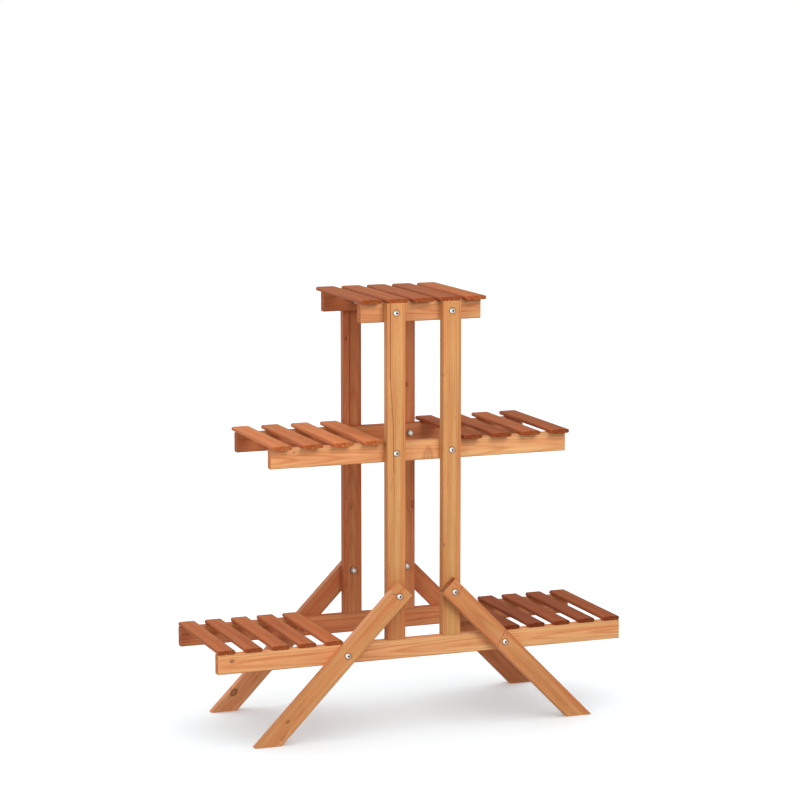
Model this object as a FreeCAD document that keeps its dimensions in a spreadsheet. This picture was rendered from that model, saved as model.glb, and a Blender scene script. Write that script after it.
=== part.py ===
import FreeCAD, Part
import enum
import math
import os
import Sketcher

# Tiered plant stand of stained softwood boards. Two long rails at the foot carry four posts,
# the posts carry two shorter pairs of rails, and slats run from front to back over each pair.
# Four splayed legs tie the posts to the foot rails and reach the floor. Sizes are in
# millimetres and degrees. +X is to the right, +Y to the back and +Z up, and the origin lies
# on the floor under the middle of the stand.

SIZES = (
    ("board_width", 38, "width of every rail, post and leg board"),
    ("board_thickness", 18, "thickness of every rail, post and leg board"),
    ("board_edge", 2, "radius along the long edges of the boards"),
    ("slat_thickness", 8, "thickness of every slat"),
    ("slat_edge", 3.5, "radius along the long edges of the slats"),
    ("bottom_slat_width", 34.5, "width of the slats of the bottom shelf"),
    ("middle_slat_width", 36.5, "width of the slats of the middle shelf"),
    ("top_slat_width", 40, "width of the slats of the top shelf"),
    ("frame_depth", 260, "outer face of the front posts to outer face of the back posts"),
    ("post_spacing", 114, "left post to right post, centre to centre"),
    ("post_length", 649, "length of a post, from the bottom rail to the top shelf"),
    ("bottom_rail_length", 830, "length of the two bottom rails"),
    ("middle_rail_length", 605, "length of the two middle rails"),
    ("top_rail_length", 245, "length of the two top rails"),
    ("bottom_rail_underside", 144, "floor to the underside of the bottom rails"),
    ("middle_rail_underside", 525, "floor to the underside of the middle rails"),
    ("leg_angle", 45.5, "slope of the legs from the floor"),
    ("leg_bolt_height", 270, "floor to the bolt that holds a leg to its post"),
    ("leg_end", 18, "that bolt to the square upper end of the leg"),
    ("bottom_bay_width", 249, "slatted stretch at each end of the bottom shelf"),
    ("bottom_bay_slats", 5, "slats in each end of the bottom shelf"),
    ("middle_post_gap", 7, "post to the nearest slat of the middle shelf"),
    ("middle_bay_slats", 4, "slats on each side of the middle shelf"),
    ("top_overhang", 4, "outer top slat past the end of the top rails"),
    ("top_slats", 5, "slats in the top shelf"),
    ("bolt_diameter", 6, "shank of the furniture bolts"),
    ("bolt_clearance", 0.5, "bolt hole in the wood, wider than the shank by this"),
    ("bolt_head_diameter", 11.5, "domed bolt head"),
    ("bolt_head_height", 3.5, "domed bolt head"),
    ("bolt_dome", 2.5, "radius that rounds the rim of the head"),
    ("bolt_free_end", 2.4, "thread that shows past the nut"),
    ("key_width", 4, "hexagon socket in the head, across its flats"),
    ("key_depth", 2.2, "depth of that socket"),
    ("washer_diameter", 12, "plain washer under the nut"),
    ("washer_bore", 6.4, "hole of the washer"),
    ("washer_thickness", 1.6, "thickness of the washer"),
    ("nut_width", 10, "hexagon nut, across its flats"),
    ("nut_height", 5, "height of the nut"),
    ("nut_chamfer", 30, "slope of the turned-off corners of the nut, from its faces"),
    ("dowel_diameter", 8, "beech dowel in the foot of each post"),
    ("dowel_length", 40, "half of it is in the post and half in the rail"),
    ("dowel_end_gap", 1, "glue space at each end of a dowel"),
    ("dowel_edge", 1, "chamfer at each end of a dowel"),
    ("brad_diameter", 1.6, "headless brads that hold the slats"),
    ("brad_length", 20, "length of a brad, flush with the top of its slat"),
    ("brad_spread", 17.5, "distance between the two brads over each rail"),
)

# Heights of the frame above the floor
BOTTOM_RAIL_CENTRE = "(Sizes.bottom_rail_underside + Sizes.board_width / 2)"
BOTTOM_RAIL_TOP = "(Sizes.bottom_rail_underside + Sizes.board_width)"
MIDDLE_RAIL_CENTRE = "(Sizes.middle_rail_underside + Sizes.board_width / 2)"
MIDDLE_RAIL_TOP = "(Sizes.middle_rail_underside + Sizes.board_width)"
POST_TOP = f"({BOTTOM_RAIL_TOP} + Sizes.post_length)"
TOP_RAIL_CENTRE = f"({POST_TOP} - Sizes.board_width / 2)"

# Distances from the middle plane to the middle of each layer of boards
POST_LAYER = "(Sizes.frame_depth / 2 - Sizes.board_thickness / 2)"
INNER_LAYER = f"({POST_LAYER} - Sizes.board_thickness)"
LEG_LAYER = f"({POST_LAYER} + Sizes.board_thickness)"
POST_FACE = "(Sizes.frame_depth / 2)"
LEG_FACE = f"({POST_FACE} + Sizes.board_thickness)"

# Distances to the left and right of the middle
POST_CENTRE = "(Sizes.post_spacing / 2)"
LEG_DROP = f"(Sizes.leg_bolt_height - {BOTTOM_RAIL_CENTRE})"
LEG_RUN = f"({LEG_DROP} / tan(Sizes.leg_angle))"
LEG_BOLT_CENTRE = f"({POST_CENTRE} + {LEG_RUN})"

# Two boards that a bolt draws together, and where the washer and nut end on its shank
GRIP = "(2 * Sizes.board_thickness)"
NUT_SEAT = f"({GRIP} + Sizes.washer_thickness)"
NUT_END = f"({NUT_SEAT} + Sizes.nut_height)"
BOLT_LENGTH = f"({NUT_END} + Sizes.bolt_free_end)"

SIDES = (("left", -1), ("right", 1))
FACES = (("front", -1), ("back", 1))
ALONG_X = FreeCAD.Vector(1, 0, 0)
ALONG_Y = FreeCAD.Vector(0, 1, 0)
ALONG_Z = FreeCAD.Vector(0, 0, 1)
HALF_TURN = FreeCAD.Rotation(ALONG_Z, 180)

# Sine of the angle under which two directions count as the same
SAME_DIRECTION = 1e-4

# The curve that a sketch keeps for its own origin
SKETCH_ORIGIN = -1


class Point(enum.IntEnum):
    """Which point of a curve a constraint holds."""

    START = 1
    END = 2
    CENTRE = 3


def add_sizes(doc):
    """Sheet with one named size per row."""
    sheet = doc.addObject("Spreadsheet::Sheet", "Sizes")
    for row, (alias, value, meaning) in enumerate(SIZES, 1):
        sheet.set(f"A{row}", meaning)
        sheet.set(f"B{row}", str(value))
        sheet.setAlias(f"B{row}", alias)
    doc.recompute()
    return sheet


def add_body(doc, name):
    body = doc.addObject("PartDesign::Body", name)
    body.Label = name
    return body


def add_sketch(body, name, plane, height="0"):
    """Sketch on an origin plane of the body, raised by height along that plane's normal."""
    sketch = body.newObject("Sketcher::SketchObject", f"{body.Name}_{name}")
    planes = [item for item in body.Origin.OriginFeatures if item.Role == plane]
    sketch.AttachmentSupport = [(planes[0], "")]
    sketch.MapMode = "FlatFace"
    sketch.setExpression("AttachmentOffset.Base.z", height)
    return sketch


def tie(sketch, constraint, size):
    """Add a constraint whose value follows an expression."""
    index = sketch.addConstraint(constraint)
    sketch.setExpression(f"Constraints[{index}]", size)


def tie_point(sketch, curve, point, place):
    """Hold a point of a curve at a place measured from the sketch's origin."""
    origin = (SKETCH_ORIGIN, Point.START)
    for kind, size in zip(("DistanceX", "DistanceY"), place):
        tie(sketch, Sketcher.Constraint(kind, *origin, curve, point, 1), size)


def draw_outline(sketch, corners):
    """Closed outline through the corners, each a pair of expressions."""
    step = 2 * math.pi / len(corners)
    spots = [FreeCAD.Vector(math.cos(i * step), math.sin(i * step), 0) for i in range(len(corners))]
    lines = []
    for index, spot in enumerate(spots):
        lines.append(sketch.addGeometry(Part.LineSegment(spot, spots[index - 1])))
    for line, previous, corner in zip(lines, lines[-1:] + lines[:-1], corners):
        joint = (line, Point.END, previous, Point.START)
        sketch.addConstraint(Sketcher.Constraint("Coincident", *joint))
        tie_point(sketch, line, Point.START, corner)


def draw_circles(sketch, centres, diameter):
    for centre in centres:
        seed = Part.Circle(FreeCAD.Vector(), ALONG_Z, 1)
        circle = sketch.addGeometry(seed)
        tie_point(sketch, circle, Point.CENTRE, centre)
        tie(sketch, Sketcher.Constraint("Diameter", circle, 1), diameter)


def add_pad(body, sketch, length, side_type="One side", reverse=False):
    pad = body.newObject("PartDesign::Pad", f"{sketch.Name}_pad")
    pad.Profile = sketch
    pad.SideType = side_type
    pad.Reversed = reverse
    pad.setExpression("Length", length)
    return pad


def edges_along(shape, direction):
    """Names of the straight edges of a shape that run along a direction."""
    names = []
    for index, edge in enumerate(shape.Edges, 1):
        run = edge.tangentAt(edge.FirstParameter)
        if run.cross(direction).Length < SAME_DIRECTION:
            names.append(f"Edge{index}")
    return names


def add_board(doc, name, plane, corners, thickness, grain, edge):
    """Board of the given outline, centred on its plane, rounded along its grain and sawn at its ends."""
    body = add_body(doc, name)
    outline = add_sketch(body, "outline", plane)
    draw_outline(outline, corners)
    pad = add_pad(body, outline, thickness, "Symmetric")
    doc.recompute()
    rounding = body.newObject("PartDesign::Fillet", f"{name}_edges")
    rounding.Base = (pad, edges_along(pad.Shape, grain))
    rounding.setExpression("Radius", edge)
    return body


def rectangle(low_x, low_y, high_x, high_y):
    return ((low_x, low_y), (high_x, low_y), (high_x, high_y), (low_x, high_y))


def drill_through(body, name, plane, centres, diameter):
    """Holes right through the board, square to its plane."""
    sketch = add_sketch(body, name, plane)
    draw_circles(sketch, centres, diameter)
    pocket = body.newObject("PartDesign::Pocket", f"{sketch.Name}_cut")
    pocket.Profile = sketch
    pocket.Type = "ThroughAll"
    pocket.SideType = "Symmetric"


def drill_blind(body, name, height, centres, diameter, depth, upwards=False):
    """Blind holes that start level at a height of the board and go down, or upwards."""
    sketch = add_sketch(body, name, "XY_Plane", height)
    draw_circles(sketch, centres, diameter)
    pocket = body.newObject("PartDesign::Pocket", f"{sketch.Name}_cut")
    pocket.Profile = sketch
    pocket.Reversed = upwards
    pocket.setExpression("Length", depth)


def place(part, x, y, z, turned=False):
    """Put a part where it belongs, turned half round about its upright axis if asked."""
    if turned:
        part.Placement = FreeCAD.Placement(FreeCAD.Vector(), HALF_TURN)
    for axis, distance in zip("xyz", (x, y, z)):
        part.setExpression(f"Placement.Base.{axis}", distance)


def spread_slats(inner, outer, width, count):
    """Middle of each slat, evenly spaced from the outer edge of a bay to its inner edge."""
    pitch = f"(({outer} - {inner} - {width}) / {count - 1})"
    return [f"({outer} - {width} / 2 - {i} * {pitch})" for i in range(count)]


def mirror_slats(shelf, middles):
    """Names and places of the slats of a shelf that has a bay on each side."""
    slats = []
    for side_name, side in SIDES:
        for number, middle in enumerate(middles, 1):
            slats.append((f"{shelf}_slat_{side_name}_{number}", f"{side} * {middle}"))
    return slats


def bottom_slats(sheet):
    outer = "Sizes.bottom_rail_length / 2"
    inner = f"({outer} - Sizes.bottom_bay_width)"
    count = int(sheet.bottom_bay_slats)
    return mirror_slats("bottom", spread_slats(inner, outer, "Sizes.bottom_slat_width", count))


def middle_slats(sheet):
    outer = "Sizes.middle_rail_length / 2"
    inner = f"({POST_CENTRE} + Sizes.board_width / 2 + Sizes.middle_post_gap)"
    count = int(sheet.middle_bay_slats)
    return mirror_slats("middle", spread_slats(inner, outer, "Sizes.middle_slat_width", count))


def top_slats(sheet):
    outer = "(Sizes.top_rail_length / 2 + Sizes.top_overhang)"
    middles = spread_slats(f"(-{outer})", outer, "Sizes.top_slat_width", int(sheet.top_slats))
    return [(f"top_slat_{number}", middle) for number, middle in enumerate(reversed(middles), 1)]


def brad_pair(middle):
    """The two brads side by side in a slat, over one rail."""
    return [f"{middle} + {side} * Sizes.brad_spread / 2" for _, side in SIDES]


def add_frame_board(doc, name, corners, grain):
    """Board of the frame, with its outline seen from the front."""
    size = ("Sizes.board_thickness", grain, "Sizes.board_edge")
    return add_board(doc, name, "XZ_Plane", corners, *size)


def add_rail(doc, name, length, bolt_centre, slats):
    """Rail on edge, drilled for its two bolts and for the brads of its slats."""
    half_length = f"Sizes.{length} / 2"
    half_width = "Sizes.board_width / 2"
    corners = rectangle(f"-{half_length}", f"-{half_width}", half_length, half_width)
    body = add_frame_board(doc, name, corners, ALONG_X)
    bolt_holes = [(f"{side} * {bolt_centre}", "0") for _, side in SIDES]
    bore = "Sizes.bolt_diameter + Sizes.bolt_clearance"
    drill_through(body, "bolt_holes", "XZ_Plane", bolt_holes, bore)
    brad_holes = [(x, "0") for _, middle in slats for x in brad_pair(middle)]
    depth = "Sizes.brad_length - Sizes.slat_thickness"
    drill_blind(body, "brad_holes", half_width, brad_holes, "Sizes.brad_diameter", depth)
    return body


def add_bottom_rails(doc, slats):
    """Long rails under the posts, in the same layer, with a dowel hole under each post."""
    rails = []
    for face_name, face in FACES:
        name = f"bottom_rail_{face_name}"
        rail = add_rail(doc, name, "bottom_rail_length", LEG_BOLT_CENTRE, slats)
        dowel_holes = [(f"{side} * {POST_CENTRE}", "0") for _, side in SIDES]
        depth = "Sizes.dowel_length / 2 + Sizes.dowel_end_gap"
        top = "Sizes.board_width / 2"
        drill_blind(rail, "dowel_holes", top, dowel_holes, "Sizes.dowel_diameter", depth)
        place(rail, "0", f"{face} * {POST_LAYER}", BOTTOM_RAIL_CENTRE)
        rails.append(rail)
    return rails


def add_inner_rails(doc, shelf, height, slats):
    """Rails of the middle or top shelf, bolted to the inner faces of the posts."""
    rails = []
    for face_name, face in FACES:
        name = f"{shelf}_rail_{face_name}"
        rail = add_rail(doc, name, f"{shelf}_rail_length", POST_CENTRE, slats)
        place(rail, "0", f"{face} * {INNER_LAYER}", height)
        rails.append(rail)
    return rails


def add_post(doc, name):
    """Upright board with its foot at its own origin, drilled for three bolts and a dowel."""
    half_width = "Sizes.board_width / 2"
    corners = rectangle(f"-{half_width}", "0", half_width, "Sizes.post_length")
    body = add_frame_board(doc, name, corners, ALONG_Z)
    levels = ("Sizes.leg_bolt_height", MIDDLE_RAIL_CENTRE, TOP_RAIL_CENTRE)
    bolt_holes = [("0", f"{level} - {BOTTOM_RAIL_TOP}") for level in levels]
    bore = "Sizes.bolt_diameter + Sizes.bolt_clearance"
    drill_through(body, "bolt_holes", "XZ_Plane", bolt_holes, bore)
    depth = "Sizes.dowel_length / 2 + Sizes.dowel_end_gap"
    diameter = "Sizes.dowel_diameter"
    drill_blind(body, "dowel_hole", "0", [("0", "0")], diameter, depth, upwards=True)
    return body


def add_leg(doc, name, slope):
    """Sloping board with its upper bolt at its own origin and its foot cut level, outwards."""
    across_x = "Sizes.board_width / 2 * sin(Sizes.leg_angle)"
    across_z = "Sizes.board_width / 2 * cos(Sizes.leg_angle)"
    end_x = "-Sizes.leg_end * cos(Sizes.leg_angle)"
    end_z = "Sizes.leg_end * sin(Sizes.leg_angle)"
    foot_x = "Sizes.leg_bolt_height / tan(Sizes.leg_angle)"
    foot_half = "Sizes.board_width / 2 / sin(Sizes.leg_angle)"
    floor = "-Sizes.leg_bolt_height"
    corners = (
        (f"{end_x} + {across_x}", f"{end_z} + {across_z}"),
        (f"{end_x} - {across_x}", f"{end_z} - {across_z}"),
        (f"{foot_x} - {foot_half}", floor),
        (f"{foot_x} + {foot_half}", floor),
    )
    grain = FreeCAD.Vector(math.cos(slope), 0, -math.sin(slope))
    body = add_frame_board(doc, name, corners, grain)
    bolt_holes = (("0", "0"), (LEG_RUN, f"-{LEG_DROP}"))
    bore = "Sizes.bolt_diameter + Sizes.bolt_clearance"
    drill_through(body, "bolt_holes", "XZ_Plane", bolt_holes, bore)
    return body


def add_posts_and_legs(doc, slope):
    parts = []
    for face_name, face in FACES:
        for side_name, side in SIDES:
            corner = f"{face_name}_{side_name}"
            post = add_post(doc, f"post_{corner}")
            place(post, f"{side} * {POST_CENTRE}", f"{face} * {POST_LAYER}", BOTTOM_RAIL_TOP)
            leg = add_leg(doc, f"leg_{corner}", slope)
            leg_place = (f"{side} * {POST_CENTRE}", f"{face} * {LEG_LAYER}")
            place(leg, *leg_place, "Sizes.leg_bolt_height", turned=side < 0)
            parts += [post, leg]
    return parts


def add_slats(doc, shelf, slats, rail_layer, rail_top):
    """Slats of one shelf, as long as the frame is deep, with holes for their brads."""
    half_width = f"Sizes.{shelf}_slat_width / 2"
    half_length = "Sizes.frame_depth / 2"
    corners = rectangle(f"-{half_width}", f"-{half_length}", half_width, half_length)
    brad_holes = [(x, f"{face} * {rail_layer}") for _, face in FACES for x in brad_pair("0")]
    parts = []
    for name, middle in slats:
        size = ("Sizes.slat_thickness", ALONG_Y, "Sizes.slat_edge")
        slat = add_board(doc, name, "XY_Plane", corners, *size)
        drill_through(slat, "brad_holes", "XY_Plane", brad_holes, "Sizes.brad_diameter")
        place(slat, middle, "0", f"{rail_top} + Sizes.slat_thickness / 2")
        parts.append(slat)
    return parts


def add_brads(doc, shelf, slats, rail_layer, rail_top):
    """All brads of one shelf, driven flush with the tops of its slats."""
    body = add_body(doc, f"{shelf}_slat_brads")
    body.AllowCompound = True
    sketch = add_sketch(body, "heads", "XY_Plane")
    rows = [f"{face} * {rail_layer}" for _, face in FACES]
    centres = [(x, row) for _, middle in slats for x in brad_pair(middle) for row in rows]
    draw_circles(sketch, centres, "Sizes.brad_diameter")
    add_pad(body, sketch, "Sizes.brad_length", reverse=True)
    place(body, "0", "0", f"{rail_top} + Sizes.slat_thickness")
    return body


def add_dowels(doc):
    """Dowels half in the foot of each post and half in the rail below it."""
    body = add_body(doc, "post_dowels")
    body.AllowCompound = True
    sketch = add_sketch(body, "ends", "XY_Plane")
    columns = [f"{side} * {POST_CENTRE}" for _, side in SIDES]
    centres = [(x, f"{face} * {POST_LAYER}") for x in columns for _, face in FACES]
    draw_circles(sketch, centres, "Sizes.dowel_diameter")
    pad = add_pad(body, sketch, "Sizes.dowel_length", "Symmetric")
    chamfer = body.newObject("PartDesign::Chamfer", "post_dowel_ends")
    chamfer.Base = (pad, [])
    chamfer.UseAllEdges = True
    chamfer.setExpression("Size", "Sizes.dowel_edge")
    place(body, "0", "0", BOTTOM_RAIL_TOP)
    return body


def hexagon(width):
    """Corners of a hexagon of this width across its flats, with a corner on each side."""
    corners = []
    for corner in range(6):
        radius = f"{width} / 2 / cos(30)"
        corners.append((f"{radius} * cos({60 * corner})", f"{radius} * sin({60 * corner})"))
    return corners


def circle_edge(shape, radius):
    """Name of the outermost round edge of this radius, on the side of -Y."""
    rims = []
    for index, edge in enumerate(shape.Edges, 1):
        if isinstance(edge.Curve, Part.Circle) and math.isclose(edge.Curve.Radius, radius):
            rims.append((edge.Curve.Center.y, f"Edge{index}"))
    return min(rims)[1]


def add_bolt(doc, sheet):
    """Furniture bolt along +Y with the underside of its domed head at its own origin."""
    body = add_body(doc, "frame_bolt")
    profile = add_sketch(body, "profile", "XY_Plane")
    head_radius = "Sizes.bolt_head_diameter / 2"
    shank_radius = "Sizes.bolt_diameter / 2"
    corners = (
        ("0", "-Sizes.bolt_head_height"),
        (head_radius, "-Sizes.bolt_head_height"),
        (head_radius, "0"),
        (shank_radius, "0"),
        (shank_radius, BOLT_LENGTH),
        ("0", BOLT_LENGTH),
    )
    draw_outline(profile, corners)
    turned = body.newObject("PartDesign::Revolution", "frame_bolt_turned")
    turned.Profile = profile
    turned.ReferenceAxis = (profile, ["V_Axis"])
    doc.recompute()
    dome = body.newObject("PartDesign::Fillet", "frame_bolt_dome")
    dome.Base = (turned, [circle_edge(turned.Shape, sheet.bolt_head_diameter / 2)])
    dome.setExpression("Radius", "Sizes.bolt_dome")
    socket = add_sketch(body, "socket", "XZ_Plane", "Sizes.bolt_head_height")
    draw_outline(socket, hexagon("Sizes.key_width"))
    cut = body.newObject("PartDesign::Pocket", "frame_bolt_socket_cut")
    cut.Profile = socket
    cut.setExpression("Length", "Sizes.key_depth")
    return body


def add_washer(doc):
    """Washer on the shank of a bolt, against the inner board."""
    body = add_body(doc, "frame_washer")
    sketch = add_sketch(body, "rings", "XZ_Plane", f"-{GRIP}")
    draw_circles(sketch, [("0", "0")], "Sizes.washer_diameter")
    draw_circles(sketch, [("0", "0")], "Sizes.washer_bore")
    add_pad(body, sketch, "Sizes.washer_thickness", reverse=True)
    return body


def add_nut(doc):
    """Hexagon nut on the shank of a bolt, with the corners of both faces turned off."""
    body = add_body(doc, "frame_nut")
    sketch = add_sketch(body, "hexagon", "XZ_Plane", f"-{NUT_SEAT}")
    draw_outline(sketch, hexagon("Sizes.nut_width"))
    draw_circles(sketch, [("0", "0")], "Sizes.bolt_diameter")
    add_pad(body, sketch, "Sizes.nut_height", reverse=True)
    flat = "Sizes.nut_width / 2"
    past_corner = "Sizes.nut_width * 0.6"
    fall = f"({past_corner} - {flat}) * tan(Sizes.nut_chamfer)"
    for name, face, inwards in (("seat", NUT_SEAT, 1), ("end", NUT_END, -1)):
        profile = add_sketch(body, f"{name}_chamfer", "XY_Plane")
        corners = ((flat, face), (past_corner, face), (past_corner, f"{face} + {inwards} * {fall}"))
        draw_outline(profile, corners)
        groove = body.newObject("PartDesign::Groove", f"frame_nut_{name}_cut")
        groove.Profile = profile
        groove.ReferenceAxis = (profile, ["V_Axis"])
    return body


def bolt_places():
    """Where each bolt goes: its distance to the side, the face it enters by and its height."""
    crossings = (
        (POST_CENTRE, POST_FACE, TOP_RAIL_CENTRE),
        (POST_CENTRE, POST_FACE, MIDDLE_RAIL_CENTRE),
        (POST_CENTRE, LEG_FACE, "Sizes.leg_bolt_height"),
        (LEG_BOLT_CENTRE, LEG_FACE, BOTTOM_RAIL_CENTRE),
    )
    for x, y, z in crossings:
        for _, face in FACES:
            for _, side in SIDES:
                yield f"{side} * {x}", f"{face} * {y}", z, face > 0


def add_set(doc, fastener):
    """One group with a copy of the fastener at every bolt."""
    copies = []
    for x, y, z, turned in bolt_places():
        copy = doc.addObject("App::Link", f"{fastener.Name}_copy")
        copy.LinkedObject = fastener
        place(copy, x, y, z, turned)
        copies.append(copy)
    group = doc.addObject("Part::Compound", f"{fastener.Name}s")
    group.Links = copies
    return group


def build(doc):
    sheet = add_sizes(doc)
    bottom, middle, top = bottom_slats(sheet), middle_slats(sheet), top_slats(sheet)
    shelves = (
        ("bottom", bottom, POST_LAYER, BOTTOM_RAIL_TOP),
        ("middle", middle, INNER_LAYER, MIDDLE_RAIL_TOP),
        ("top", top, INNER_LAYER, POST_TOP),
    )
    parts = add_bottom_rails(doc, bottom)
    parts += add_inner_rails(doc, "middle", MIDDLE_RAIL_CENTRE, middle)
    parts += add_inner_rails(doc, "top", TOP_RAIL_CENTRE, top)
    parts += add_posts_and_legs(doc, math.radians(sheet.leg_angle))
    for shelf, slats, rail_layer, rail_top in shelves:
        parts += add_slats(doc, shelf, slats, rail_layer, rail_top)
        parts.append(add_brads(doc, shelf, slats, rail_layer, rail_top))
    parts.append(add_dowels(doc))
    parts += [add_set(doc, item) for item in (add_bolt(doc, sheet), add_washer(doc), add_nut(doc))]
    doc.recompute()
    return parts


def check(doc, parts):
    """Stop if a feature failed, a cut removed nothing or a part isn't a valid solid."""
    for item in doc.Objects:
        if {"Invalid", "Error"} & set(item.State):
            raise RuntimeError(f"{item.Name} failed: {item.State}")
        if item.TypeId in ("PartDesign::Pocket", "PartDesign::Groove"):
            if item.Shape.Volume >= item.BaseFeature.Shape.Volume:
                raise RuntimeError(f"{item.Name} cuts nothing")
    for part in parts:
        if part.Shape.isNull() or not part.Shape.isValid() or not part.Shape.Solids:
            raise RuntimeError(f"{part.Label} has no valid solid")


def main():
    doc = FreeCAD.newDocument("plant_stand")
    parts = build(doc)
    check(doc, parts)
    os.makedirs("parts", exist_ok=True)
    for part in parts:
        part.Shape.exportStep(f"parts/{part.Label}.step")


main()
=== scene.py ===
import math
import random

import bmesh
import bpy
from bpy.props import FloatProperty, FloatVectorProperty, PointerProperty
from mathutils import Matrix, Vector


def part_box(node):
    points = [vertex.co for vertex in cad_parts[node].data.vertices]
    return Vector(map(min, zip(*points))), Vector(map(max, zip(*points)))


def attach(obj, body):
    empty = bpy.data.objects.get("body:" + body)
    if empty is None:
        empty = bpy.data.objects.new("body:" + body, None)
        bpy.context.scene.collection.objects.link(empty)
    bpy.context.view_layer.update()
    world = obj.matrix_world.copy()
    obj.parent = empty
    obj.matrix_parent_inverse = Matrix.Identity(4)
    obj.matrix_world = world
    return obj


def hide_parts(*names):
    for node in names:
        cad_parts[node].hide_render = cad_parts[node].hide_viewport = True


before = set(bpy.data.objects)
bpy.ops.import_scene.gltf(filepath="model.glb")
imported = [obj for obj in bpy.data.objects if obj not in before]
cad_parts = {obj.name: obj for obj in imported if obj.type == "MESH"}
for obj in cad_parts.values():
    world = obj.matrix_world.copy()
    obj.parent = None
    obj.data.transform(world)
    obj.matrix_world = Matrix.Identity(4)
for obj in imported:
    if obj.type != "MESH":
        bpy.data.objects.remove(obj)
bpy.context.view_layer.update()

bl_info = {
    "name": "Tiered plant stand",
    "version": (1, 0),
    "blender": (4, 5, 0),
    "location": "View3D > Sidebar > Plant stand",
    "description": "Stained pine plant stand with three slatted shelves",
    "category": "Object",
}

MM = 0.001

# Directions of the frame: x to the right, y to the back, z up
RIGHT = Vector((1, 0, 0))
BACK = Vector((0, 1, 0))
UP = Vector((0, 0, 1))


def linear(colour):
    """Linear RGBA of an sRGB hex colour."""
    parts = [int(colour[i:i + 2], 16) / 255 for i in (1, 3, 5)]
    return [p / 12.92 if p <= 0.04045 else ((p + 0.055) / 1.055) ** 2.4 for p in parts] + [1.0]


# ------------ sizes and colours

def colour_property(name, description, colour):
    return FloatVectorProperty(
        name=name, description=description, subtype="COLOR", size=4, min=0.0, max=1.0,
        default=linear(colour))


def length_property(name, description, millimetres):
    return FloatProperty(
        name=name, description=description, default=millimetres * MM, min=0.1 * MM, unit="LENGTH",
        precision=4)


class PlantStandWood(bpy.types.PropertyGroup):
    """Oiled pine of the boards."""

    post_oil: colour_property("Posts", "Honey-coloured oil on the posts", "#C08A56")
    rail_oil: colour_property("Rails", "Amber oil on the rails", "#CC9262")
    leg_oil: colour_property("Legs", "Tan oil on the legs", "#C78A58")
    slat_oil: colour_property("Slats", "Redder oil on the slats", "#B0683C")
    # Darker than the front oils: painted shade on the boards of the back frame
    back_shaded_oil: colour_property("Back boards", "Russet oil on the back frame", "#AC6942")
    ring_width: length_property("Ring width", "One year of growth in the pine", 4.2)
    leg_slope: FloatProperty(
        name="Leg slope", description="Slope of the legs from the floor",
        default=math.radians(45.5), subtype="ANGLE")


class PlantStandMetal(bpy.types.PropertyGroup):
    """Bolts, washers, nuts and brads."""

    zinc: colour_property("Bolts", "Bright zinc plate of the bolts, passivated a warm white", "#EEE9E1")
    dull_zinc: colour_property("Nuts and washers", "Duller zinc plate", "#B4B0A4")
    steel: colour_property("Steel", "Drawn steel wire of the brads", "#8E8A84")
    shank: length_property("Shank", "Diameter of the bolts over the thread", 6)
    head: length_property("Head", "Diameter of the bolt heads", 11.5)
    head_height: length_property("Head height", "Board to the crown of a bolt head", 3.5)
    key: length_property("Key", "Across the flats of the socket", 4)
    key_depth: length_property("Key depth", "Crown of the head to the floor of the socket", 2.2)
    pitch: length_property("Pitch", "One turn of the thread", 1)
    brad: length_property("Brad", "Diameter of the brads", 1.6)
    brad_spread: length_property("Brad spread", "Between the two brads over each rail", 17.5)
    threaded: length_property("Threaded length", "Thread at the free end of a bolt", 13)


class PlantStandStage(bpy.types.PropertyGroup):
    """Camera, floor and light."""

    azimuth: FloatProperty(
        name="Azimuth", description="How far the camera stands to the left of the front",
        default=math.radians(21.109), subtype="ANGLE")
    elevation: FloatProperty(
        name="Elevation", description="How far the camera looks down",
        default=math.radians(8.475), subtype="ANGLE")
    distance: FloatProperty(
        name="Distance", description="Camera to the middle of the stand",
        default=5.2752, unit="LENGTH")
    target: FloatVectorProperty(
        name="Target", description="Point that the camera looks at",
        default=(0.0003, 0.0, 0.6255), subtype="XYZ", unit="LENGTH", precision=4)
    lens: FloatProperty(
        name="Lens", description="Focal length on a sensor 36 mm wide",
        default=122.0, unit="CAMERA")
    floor: colour_property("Floor", "Matt paper of the floor", "#EBF1F3")
    key_power: FloatProperty(
        name="Key", description="Softbox in front, up and to the right", default=40.0, unit="POWER")
    side_power: FloatProperty(
        name="Side", description="Softbox to the left of the camera", default=16.0, unit="POWER")
    back_power: FloatProperty(
        name="Back", description="Softbox behind, up and to the left", default=26.0, unit="POWER")
    floor_strength: FloatProperty(
        name="Floor light", description="Wide soft light straight above the floor", default=1.6)
    floor_fill: FloatProperty(
        name="Floor fill", description="Light on the floor that casts no shadow", default=1.3)
    room_strength: FloatProperty(
        name="Room", description="White light from all round", default=0.5)


GROUPS = (PlantStandWood, PlantStandMetal, PlantStandStage)


# ------------ materials

# Sockets of a Mix node by number, because its colours and its values share their names
MIX_A, MIX_B, MIXED = 6, 7, 2
VALUE_A, VALUE_B = 2, 3

# Refraction of drying oil and of wood fibres
OIL_IOR = 1.45

# What early and late wood make of the board's own colour
EARLY_WOOD = (1.16, 1.30, 1.38)
LATE_WOOD = (0.82, 0.65, 0.53)


def add_node(tree, kind, inputs=None, **settings):
    """Add a node, its kind given without ShaderNode, with its settings, input values and links."""
    node = tree.nodes.new(kind if kind.startswith("NodeGroup") else f"ShaderNode{kind}")
    for name, value in settings.items():
        setattr(node, name, value)
    for key, value in (inputs or {}).items():
        if isinstance(value, bpy.types.ShaderNode):
            value = value.outputs[0]
        if isinstance(value, bpy.types.NodeSocket):
            tree.links.new(value, node.inputs[key])
        else:
            node.inputs[key].default_value = value
    return node


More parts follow.
